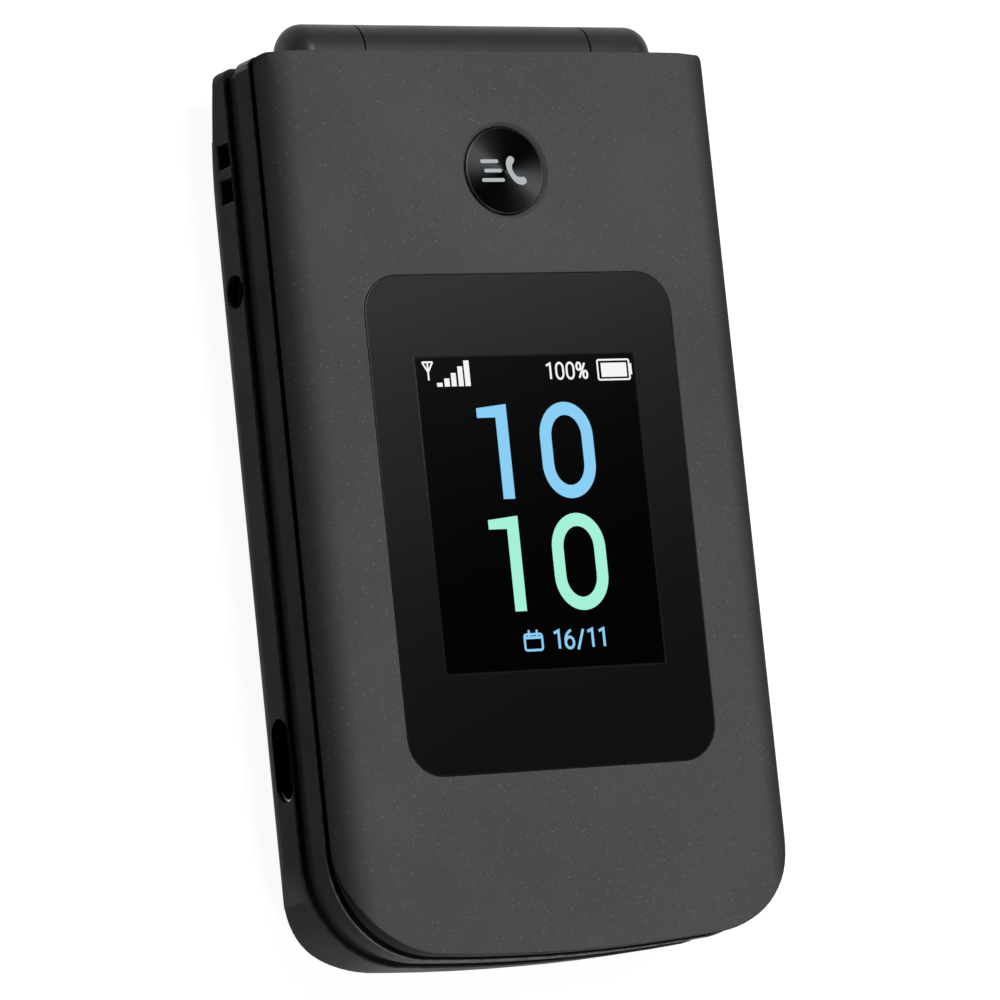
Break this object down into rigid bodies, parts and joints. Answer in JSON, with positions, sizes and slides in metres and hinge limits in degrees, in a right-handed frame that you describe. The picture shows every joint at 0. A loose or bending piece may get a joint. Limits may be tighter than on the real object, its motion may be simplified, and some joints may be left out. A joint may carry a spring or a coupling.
{
  "type": "flip phone",
  "caption": "Clamshell mobile phone with a hinged lid, an outer display and round call button on the lid, a keypad inside and ports in the side.",
  "frame": {"origin": "middle of the underside of the closed phone's bounding box, on the flat back", "axes": "+X across the phone to its right side as the outer display is read, +Y along the phone to the hinge, +Z out of the lid"},
  "size_m": [0.0574, 0.1044, 0.0184],
  "materials": {
    "cover_grey": "satin metallic grey paint",
    "case_black": "fine matt texture",
    "keypad_black": "satin black",
    "window_black": "polished, printed black behind",
    "display_black": "polished",
    "key_plastic": "satin",
    "ring_metal": "satin",
    "button_black": "spun gloss",
    "battery_wrap": "matt label",
    "gold_contact": "plated",
    "board_green": "solder mask",
    "steel": "bright",
    "inner_black": "plain moulded",
    "dome_film": "film",
    "grey_rubber": "matt",
    "black_rubber": "matt",
    "flex_amber": "film",
    "magnet_nickel": "plated"
  },
  "bodies": {
    "base": {"rear_case": "case_black", "front_case": "keypad_black", "battery_cover": "case_black", "battery": "battery_wrap", "battery_contacts": "gold_contact", "main_board": "board_green", "shield_cans": "steel", "usb_port": "steel", "audio_jack": "inner_black", "card_holder": "steel", "speaker": "inner_black", "microphone": "gold_contact", "vibration_motor": "steel", "dome_sheet": "dome_film", "keypad_mat": "grey_rubber", "camera_module": "inner_black", "camera_window": "window_black", "case_screws": "steel", "antenna_carrier": "inner_black", "side_switches": "steel", "hinge_cartridge": "steel", "hinge_spring": "steel", "hinge_bush": "steel"},
    "lid": {"lid_cover": "cover_grey", "lid_frame": "case_black", "outer_window": "window_black", "outer_display": "display_black", "inner_window": "window_black", "inner_display": "display_black", "lid_board": "board_green", "earpiece": "inner_black", "earpiece_mesh": "steel", "lid_magnet": "magnet_nickel", "lid_bumpers": "black_rubber", "hinge_shaft": "steel", "flex_cable": "flex_amber", "lid_screws": "steel"},
    "quick_button": {"quick_button": "button_black"},
    "key_1": {"key_1": "key_plastic"},
    "key_2": {"key_2": "key_plastic"},
    "key_3": {"key_3": "key_plastic"},
    "key_4": {"key_4": "key_plastic"},
    "key_5": {"key_5": "key_plastic"},
    "key_6": {"key_6": "key_plastic"},
    "key_7": {"key_7": "key_plastic"},
    "key_8": {"key_8": "key_plastic"},
    "key_9": {"key_9": "key_plastic"},
    "key_star": {"key_star": "key_plastic"},
    "key_0": {"key_0": "key_plastic"},
    "key_hash": {"key_hash": "key_plastic"},
    "ok_key": {"ok_key": "key_plastic"},
    "soft_key_left": {"soft_key_left": "key_plastic"},
    "soft_key_right": {"soft_key_right": "key_plastic"},
    "call_key": {"call_key": "key_plastic"},
    "end_key": {"end_key": "key_plastic"},
    "nav_ring": {"nav_ring": "ring_metal"},
    "volume_up_key": {"volume_up_key": "key_plastic"},
    "volume_down_key": {"volume_down_key": "key_plastic"}
  },
  "joints": [
    {"name": "lid_hinge", "type": "hinge", "parent": "base", "child": "lid", "pos_m": [0, 0.04863, 0.01192], "axis": [-1, 0, 0], "range_deg": [0, 160]},
    {"name": "quick_button_press", "type": "slide", "parent": "lid", "child": "quick_button", "axis": [0, 0, -1], "range_m": [0, 0.0003], "stiffness_N_per_m": 2000},
    {"name": "key_1_press", "type": "slide", "parent": "base", "child": "key_1", "axis": [0, 0, -1], "range_m": [0, 0.0003], "stiffness_N_per_m": 2000},
    {"name": "key_2_press", "type": "slide", "parent": "base", "child": "key_2", "axis": [0, 0, -1], "range_m": [0, 0.0003], "stiffness_N_per_m": 2000},
    {"name": "key_3_press", "type": "slide", "parent": "base", "child": "key_3", "axis": [0, 0, -1], "range_m": [0, 0.0003], "stiffness_N_per_m": 2000},
    {"name": "key_4_press", "type": "slide", "parent": "base", "child": "key_4", "axis": [0, 0, -1], "range_m": [0, 0.0003], "stiffness_N_per_m": 2000},
    {"name": "key_5_press", "type": "slide", "parent": "base", "child": "key_5", "axis": [0, 0, -1], "range_m": [0, 0.0003], "stiffness_N_per_m": 2000},
    {"name": "key_6_press", "type": "slide", "parent": "base", "child": "key_6", "axis": [0, 0, -1], "range_m": [0, 0.0003], "stiffness_N_per_m": 2000},
    {"name": "key_7_press", "type": "slide", "parent": "base", "child": "key_7", "axis": [0, 0, -1], "range_m": [0, 0.0003], "stiffness_N_per_m": 2000},
    {"name": "key_8_press", "type": "slide", "parent": "base", "child": "key_8", "axis": [0, 0, -1], "range_m": [0, 0.0003], "stiffness_N_per_m": 2000},
    {"name": "key_9_press", "type": "slide", "parent": "base", "child": "key_9", "axis": [0, 0, -1], "range_m": [0, 0.0003], "stiffness_N_per_m": 2000},
    {"name": "key_star_press", "type": "slide", "parent": "base", "child": "key_star", "axis": [0, 0, -1], "range_m": [0, 0.0003], "stiffness_N_per_m": 2000},
    {"name": "key_0_press", "type": "slide", "parent": "base", "child": "key_0", "axis": [0, 0, -1], "range_m": [0, 0.0003], "stiffness_N_per_m": 2000},
    {"name": "key_hash_press", "type": "slide", "parent": "base", "child": "key_hash", "axis": [0, 0, -1], "range_m": [0, 0.0003], "stiffness_N_per_m": 2000},
    {"name": "ok_key_press", "type": "slide", "parent": "base", "child": "ok_key", "axis": [0, 0, -1], "range_m": [0, 0.0003], "stiffness_N_per_m": 2000},
    {"name": "soft_key_left_press", "type": "slide", "parent": "base", "child": "soft_key_left", "axis": [0, 0, -1], "range_m": [0, 0.0003], "stiffness_N_per_m": 2000},
    {"name": "soft_key_right_press", "type": "slide", "parent": "base", "child": "soft_key_right", "axis": [0, 0, -1], "range_m": [0, 0.0003], "stiffness_N_per_m": 2000},
    {"name": "call_key_press", "type": "slide", "parent": "base", "child": "call_key", "axis": [0, 0, -1], "range_m": [0, 0.0003], "stiffness_N_per_m": 2000},
    {"name": "end_key_press", "type": "slide", "parent": "base", "child": "end_key", "axis": [0, 0, -1], "range_m": [0, 0.0003], "stiffness_N_per_m": 2000},
    {"name": "nav_ring_tilt", "type": "hinge", "parent": "base", "child": "nav_ring", "pos_m": [0, 0.02016, 0.01052], "axis": [1, 0, 0], "range_deg": [-1.2, 1.2], "stiffness_Nm_per_rad": 0.6},
    {"name": "volume_up_key_press", "type": "slide", "parent": "base", "child": "volume_up_key", "axis": [-1, 0, 0], "range_m": [0, 0.0003], "stiffness_N_per_m": 2000},
    {"name": "volume_down_key_press", "type": "slide", "parent": "base", "child": "volume_down_key", "axis": [-1, 0, 0], "range_m": [0, 0.0003], "stiffness_N_per_m": 2000}
  ]
}
